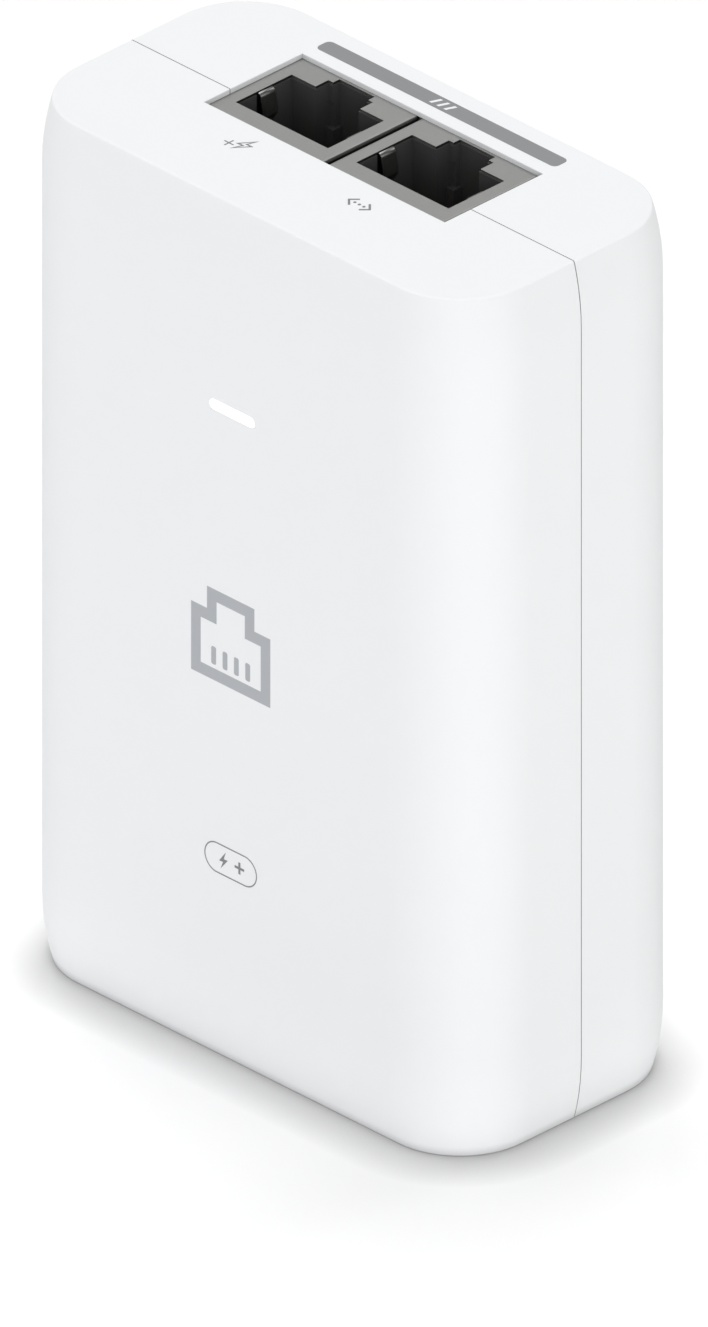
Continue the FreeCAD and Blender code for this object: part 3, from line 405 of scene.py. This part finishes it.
def pill(x, y, width, height, radius, steps=12):
    """The outline of a rectangle with round corners."""
    across, along = width / 2 - radius, height / 2 - radius
    corners = ((1, 1, 0), (-1, 1, 90), (-1, -1, 180), (1, -1, 270))
    return [point for side, end, start in corners
            for point in arc(x + side * across, y + end * along, radius, start, start + 90, steps)]


def plate(mesh, face, points, base=0):
    """A print-thin plate over an outline, given in millimetres on a face."""
    rings = [[mesh.verts.new(face(x * MM, y * MM, lift)) for x, y in points]
             for lift in (base, base + PRINT)]
    mesh.faces.new(rings[0][::-1])
    mesh.faces.new(rings[1])
    for place in range(len(points)):
        after = (place + 1) % len(points)
        mesh.faces.new((rings[0][place], rings[0][after], rings[1][after], rings[1][place]))


def offset_line(points, shift, closed):
    """The points moved sideways, mitred at each corner."""
    moved = []
    count = len(points)
    for place, point in enumerate(points):
        here = Vector(point)
        before = Vector(points[place - 1]) if closed or place else None
        after = Vector(points[(place + 1) % count]) if closed or place + 1 < count else None
        ways = [way.normalized() for way in
                ((here - before) if before else None, (after - here) if after else None)
                if way is not None and way.length > 1e-9]
        normals = [Vector((-way.y, way.x)) for way in ways]
        middle = sum(normals, Vector((0, 0))).normalized()
        reach = shift / max(middle.dot(normals[0]), 0.35)
        moved.append(tuple(here + middle * reach))
    return moved


def stroke(mesh, face, points, width, closed=True):
    """A print-thin line of even width along the points."""
    left = offset_line(points, width / 2, closed)
    right = offset_line(points, -width / 2, closed)
    count = len(points) if closed else len(points) - 1
    loops = [[mesh.verts.new(face(x * MM, y * MM, lift)) for x, y in line]
             for line in (left, right) for lift in (0, PRINT)]
    for place in range(count):
        after = (place + 1) % len(points)
        for one, two in ((0, 1), (1, 3), (3, 2), (2, 0)):
            mesh.faces.new((loops[one][place], loops[one][after],
                            loops[two][after], loops[two][place]))
    if not closed:
        for end in (0, -1):
            mesh.faces.new([loops[side][end] for side in (0, 1, 3, 2)])


def piece(name, mesh, material, body=ROOT):
    """Turn a bmesh into a piece that rides on a body."""
    bmesh.ops.recalc_face_normals(mesh, faces=mesh.faces)
    data = bpy.data.meshes.new(name)
    mesh.to_mesh(data)
    mesh.free()
    data.materials.append(MATERIALS[material])
    thing = bpy.data.objects.new(name, data)
    SCENE.collection.objects.link(thing)
    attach(thing, body)
    return thing


def bolt(x, y, height):
    """A lightning bolt's outline, point down."""
    shape = ((0.18, 0.5), (-0.26, -0.1), (0.0, -0.08), (-0.17, -0.5), (0.3, 0.09), (0.04, 0.08))
    return [(x + across * height, y + along * height) for across, along in shape]


def plus(mesh, face, x, y, size, width):
    """A plus sign of one width, centred on a point."""
    arms = [(-size, -width), (-width, -width), (-width, -size), (width, -size), (width, -width),
            (size, -width), (size, width), (width, width), (width, size), (-width, size),
            (-width, width), (-size, width)]
    plate(mesh, face, [(x + across / 2, y + along / 2) for across, along in arms])


def make_top_marks():
    """The grey bar behind the sockets with its light dashes, and the two socket icons."""
    bar = bmesh.new()
    bar_y = 12.0
    plate(bar, on_top, pill(-0.25, bar_y, 31.7, 1.9, 0.6))
    piece("top_bar_print", bar, "print_dark")
    dashes = bmesh.new()
    for place in range(3):
        x = -1.0 + place * 0.95
        low, high = bar_y - 0.55, bar_y + 0.55
        plate(dashes, on_top, [(x - 0.45, low), (x - 0.1, low), (x + 0.35, high), (x, high)], PRINT)
    piece("top_bar_dashes", dashes, "casing_plastic")
    icons = bmesh.new()
    stroke(icons, on_top, bolt(-7.8, -6.45, 2.42), 0.16)
    plus(icons, on_top, -9.1, -7.2, 1.2, 0.15)
    data_x, data_y = 7.69, -6.74
    for side in (-1, 1):
        tip, back = data_x + side * 1.37, data_x + side * 0.65
        chevron = [(back, data_y - 0.72), (tip, data_y), (back, data_y + 0.72)]
        stroke(icons, on_top, chevron, 0.22, closed=False)
    for place in (-1, 0, 1):
        plate(icons, on_top, pill(data_x + place * 0.595, data_y, 0.32, 0.32, 0.159, 4))
    piece("top_icons_print", icons, "print_fine")


def make_front_marks():
    """A network-socket emblem, and a pill badge that holds a bolt and a plus."""
    emblem = bmesh.new()
    middle, badge_z = 45.5, 21.8
    outline = [(-4.6, -4.2), (4.6, -4.2), (4.6, 1.9), (2.5, 1.9), (2.5, 4.3), (-2.5, 4.3),
               (-2.5, 1.9), (-4.6, 1.9)]
    stroke(emblem, on_front, [(x, z + middle) for x, z in outline], 1.25)
    for place in range(4):
        x = -2.25 + place * 1.5
        plate(emblem, on_front, pill(x, middle - 2.2, 0.62, 1.9, 0.2, 4))
    piece("front_emblem_print", emblem, "print_mid")
    badge = bmesh.new()
    stroke(badge, on_front, pill(0, badge_z, 6.82, 3.12, 1.56, 16), 0.13)
    plate(badge, on_front, bolt(-1.0, badge_z, 2.0))
    plus(badge, on_front, 1.15, badge_z, 1.25, 0.26)
    piece("front_badge_print", badge, "print_fine")


make_top_marks()
make_front_marks()


# ---------------------------------------------------------------- floor, light and camera
def toward(azimuth, elevation):
    """The direction at an azimuth from the front and an elevation, in degrees."""
    turn, rise = math.radians(azimuth), math.radians(elevation)
    return Vector((math.sin(turn) * math.cos(rise), -math.cos(turn) * math.cos(rise), math.sin(rise)))


def make_floor():
    """The plain pale floor with a painted contact shadow: darker close to the object, most of all at
    its front right.
    """
    size = 3.0
    data = bpy.data.meshes.new("floor")
    data.from_pydata([(-size, -size, 0), (size, -size, 0), (size, size, 0), (-size, size, 0)], [],
                     [(0, 1, 2, 3)])
    floor = bpy.data.objects.new("floor", data)
    SCENE.collection.objects.link(floor)
    material, tree, shader = new_material("floor_white", (0.93, 0.93, 0.93), 0.16)
    data.materials.append(material)
    shader.inputs["Emission Color"].default_value = (1, 1, 1, 1)
    shader.inputs["Emission Strength"].default_value = 0.077
    # Painted contact shadow: the floor colour darkens to grey close to the object.
    contact = tree.nodes.new("ShaderNodeAmbientOcclusion")
    contact.inputs["Distance"].default_value = 5.7 * MM
    contact.samples = 16
    lean = tree.nodes.new("ShaderNodeCombineXYZ")
    for axis, part in zip("XYZ", toward(225, 74)):
        lean.inputs[axis].default_value = part
    tree.links.new(lean.outputs["Vector"], contact.inputs["Normal"])
    depth = tree.nodes.new("ShaderNodeMath")
    depth.operation = "POWER"
    depth.inputs[1].default_value = 1.3
    shade = tree.nodes.new("ShaderNodeMix")
    shade.data_type = "RGBA"
    shade.inputs["A"].default_value = (0.4, 0.4, 0.4, 1)
    shade.inputs["B"].default_value = (0.93, 0.93, 0.93, 1)
    tree.links.new(contact.outputs["AO"], depth.inputs[0])
    tree.links.new(depth.outputs["Value"], shade.inputs["Factor"])
    tree.links.new(shade.outputs["Result"], shader.inputs["Base Color"])


def make_world():
    """An even white studio that falls off to a dim, faintly green side at the right rear."""
    world = bpy.data.worlds.new("studio")
    world.use_nodes = True
    tree = world.node_tree
    place = tree.nodes.new("ShaderNodeTexCoord")
    facing = tree.nodes.new("ShaderNodeVectorMath")
    facing.operation = "DOT_PRODUCT"
    facing.inputs[1].default_value = toward(135, 18)
    tree.links.new(place.outputs["Generated"], facing.inputs[0])
    fade = tree.nodes.new("ShaderNodeMapRange")
    fade.interpolation_type = "SMOOTHSTEP"
    fade.inputs["From Min"].default_value = 0.45
    fade.inputs["From Max"].default_value = 0.92
    tree.links.new(facing.outputs["Value"], fade.inputs["Value"])
    mix = tree.nodes.new("ShaderNodeMix")
    mix.data_type = "RGBA"
    mix.inputs["A"].default_value = (1, 1, 1, 1)
    mix.inputs["B"].default_value = (0.22, 0.24, 0.21, 1)
    tree.links.new(fade.outputs["Result"], mix.inputs["Factor"])
    tree.links.new(mix.outputs["Result"], tree.nodes["Background"].inputs["Color"])
    tree.nodes["Background"].inputs["Strength"].default_value = 0.51
    SCENE.world = world


def studio_light(name, azimuth, elevation, strength, softness, color=(1, 1, 1)):
    """A broad, even light from one direction, as soft as a sky patch that many degrees across."""
    back = toward(azimuth, elevation)
    lamp = bpy.data.lights.new(name, "SUN")
    lamp.energy = strength
    lamp.angle = math.radians(softness)
    lamp.color = color
    thing = bpy.data.objects.new(name, lamp)
    thing.matrix_world = Matrix.LocRotScale(back, back.to_track_quat("Z", "Y"), (1, 1, 1))
    SCENE.collection.objects.link(thing)


def make_camera():
    """A parallel view from the front right and above."""
    azimuth, elevation = 45.2, 29.79
    back = toward(azimuth, elevation)
    right = toward(azimuth + 90, 0)
    up = back.cross(right)
    data = bpy.data.cameras.new("camera")
    data.type = "ORTHO"
    data.ortho_scale = 123.63 * MM
    data.clip_start, data.clip_end = 0.01, 20
    camera = bpy.data.objects.new("camera", data)
    middle = Vector((0, 0, 49.88 * MM)) + right * 0.1335 * MM - up * 11.277 * MM
    turn = Matrix((right, up, back)).transposed().to_4x4()
    camera.matrix_world = Matrix.Translation(middle + back * 0.6) @ turn
    SCENE.collection.objects.link(camera)
    SCENE.camera = camera


make_floor()
make_world()
studio_light("key", 47, 20, 1.154, 40)
studio_light("right", 105, 10, 0.69, 50, (1, 1, 0.97))
studio_light("left", -73, 18, 0.47, 40)
studio_light("overhead", 225, 82, 0.77, 24)
studio_light("back", 225, 64, 0.6, 30)
studio_light("lip", 176, 30, 0.34, 20)
studio_light("edge", -50, 38, 0.12, 16)
make_camera()
SCENE.view_settings.view_transform = "Standard"
